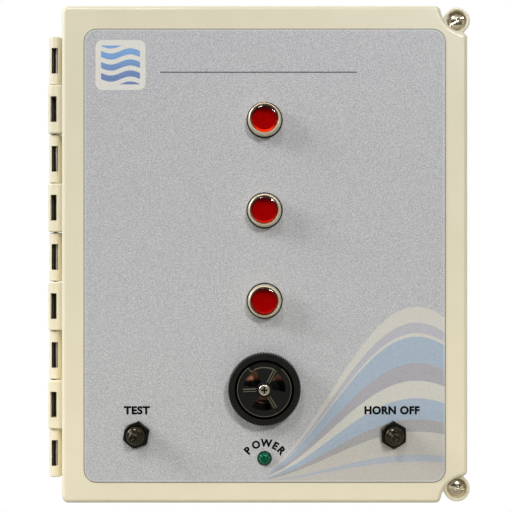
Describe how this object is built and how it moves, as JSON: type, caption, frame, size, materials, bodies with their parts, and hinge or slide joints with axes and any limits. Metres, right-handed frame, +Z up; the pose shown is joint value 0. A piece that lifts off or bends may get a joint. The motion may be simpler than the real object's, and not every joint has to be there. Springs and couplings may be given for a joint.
{
  "type": "alarm panel",
  "caption": "Wall-mounted alarm panel: hinged door with signal lamps, horn with turning shutter, power light and booted push buttons.",
  "frame": {"origin": "centre of the wall-hole pattern, on the flat back of the case", "axes": "+X to the right of someone facing the panel, +Y into the wall, +Z up"},
  "size_m": [0.2509, 0.1323, 0.291],
  "materials": {
    "case_plastic": "satin",
    "label_film": "fine grain",
    "seal_rubber": "satin",
    "stainless": "polished",
    "plated_steel": "satin",
    "brass": "satin",
    "contact_metal": "tinned",
    "bezel_chrome": "polished",
    "red_lens": "glossy",
    "bulb_glass": "clear",
    "green_lens": "glossy",
    "black_plastic": "satin",
    "black_nut": "satin",
    "panel_paint": "satin",
    "board_laminate": "satin",
    "relay_blue": "glossy",
    "terminal_green": "satin",
    "chip_black": "matte",
    "capacitor_can": "sleeved",
    "fuse_glass": "clear",
    "core_steel": "varnished",
    "coil_tape": "taped"
  },
  "bodies": {
    "case": {"enclosure_base": "case_plastic", "hinge_pin": "plated_steel", "cover_screw_inserts": "brass", "panel_inserts": "brass", "back_panel": "panel_paint", "panel_screws": "plated_steel", "board_standoffs": "brass", "circuit_board": "board_laminate", "board_screws": "plated_steel", "relays": "relay_blue", "terminal_blocks": "terminal_green", "controller_chip": "chip_black", "capacitors": "capacitor_can", "fuse_holder": "brass", "fuse": "fuse_glass", "transformer_core": "core_steel", "transformer_coil": "coil_tape", "earth_stud": "plated_steel"},
    "door": {"enclosure_cover": "case_plastic", "cover_gasket": "seal_rubber", "front_label": "label_film", "top_lamp_body": "black_plastic", "top_lamp_lens": "red_lens", "top_lamp_bezel": "bezel_chrome", "middle_lamp_body": "black_plastic", "middle_lamp_lens": "red_lens", "middle_lamp_bezel": "bezel_chrome", "bottom_lamp_body": "black_plastic", "bottom_lamp_lens": "red_lens", "bottom_lamp_bezel": "bezel_chrome", "lamp_gaskets": "seal_rubber", "lamp_nuts": "plated_steel", "lamp_bulbs": "bulb_glass", "lamp_terminals": "contact_metal", "horn_body": "black_plastic", "horn_gasket": "seal_rubber", "horn_diaphragm": "brass", "horn_bezel": "black_plastic", "horn_screw": "stainless", "horn_terminals": "contact_metal", "power_lens": "green_lens", "power_led": "black_plastic", "power_led_nut": "plated_steel", "test_boot_nut": "black_nut", "test_boot": "seal_rubber", "test_switch_body": "black_plastic", "horn_off_boot_nut": "black_nut", "horn_off_boot": "seal_rubber", "horn_off_switch_body": "black_plastic", "button_lock_nuts": "plated_steel", "button_terminals": "contact_metal"},
    "shutter": {"horn_shutter": "black_plastic"},
    "test_button": {"test_plunger": "black_plastic"},
    "horn_off_button": {"horn_off_plunger": "black_plastic"},
    "top_washer": {"top_screw_washer": "stainless"},
    "top_screw": {"top_cover_screw": "stainless"},
    "bottom_washer": {"bottom_screw_washer": "stainless"},
    "bottom_screw": {"bottom_cover_screw": "stainless"}
  },
  "joints": [
    {"name": "door_hinge", "type": "hinge", "parent": "case", "child": "door", "pos_m": [-0.1262, -0.09525, 0], "axis": [0, 0, -1], "range_deg": [0, 180]},
    {"name": "shutter_turn", "type": "hinge", "parent": "door", "child": "shutter", "pos_m": [0, -0.12685, -0.0774], "axis": [0, -1, 0], "range_deg": [0, 60]},
    {"name": "test_press", "type": "slide", "parent": "door", "child": "test_button", "axis": [0, 1, 0], "range_m": [0, 0.0025], "stiffness_N_per_m": 800, "springref_m": -0.0025, "deforming": ["test_boot"]},
    {"name": "horn_off_press", "type": "slide", "parent": "door", "child": "horn_off_button", "axis": [0, 1, 0], "range_m": [0, 0.0025], "stiffness_N_per_m": 800, "springref_m": -0.0025, "deforming": ["horn_off_boot"]},
    {"name": "top_screw_lift", "type": "slide", "parent": "door", "child": "top_washer", "axis": [0, -1, 0], "range_m": [0, 0.00595]},
    {"name": "top_screw_turn", "type": "hinge", "parent": "top_washer", "child": "top_screw", "pos_m": [0.1131, -0.1055, 0.1378], "axis": [0, -1, 0], "range_deg": [0, 2700]},
    {"name": "bottom_screw_lift", "type": "slide", "parent": "door", "child": "bottom_washer", "axis": [0, -1, 0], "range_m": [0, 0.00595]},
    {"name": "bottom_screw_turn", "type": "hinge", "parent": "bottom_washer", "child": "bottom_screw", "pos_m": [0.1131, -0.1055, -0.1378], "axis": [0, -1, 0], "range_deg": [0, 2700]}
  ],
  "couplings": [
    {"joint": "top_screw_turn", "follows": "top_screw_lift", "rad_per_m": 7915.8},
    {"joint": "bottom_screw_turn", "follows": "bottom_screw_lift", "rad_per_m": 7915.8}
  ]
}
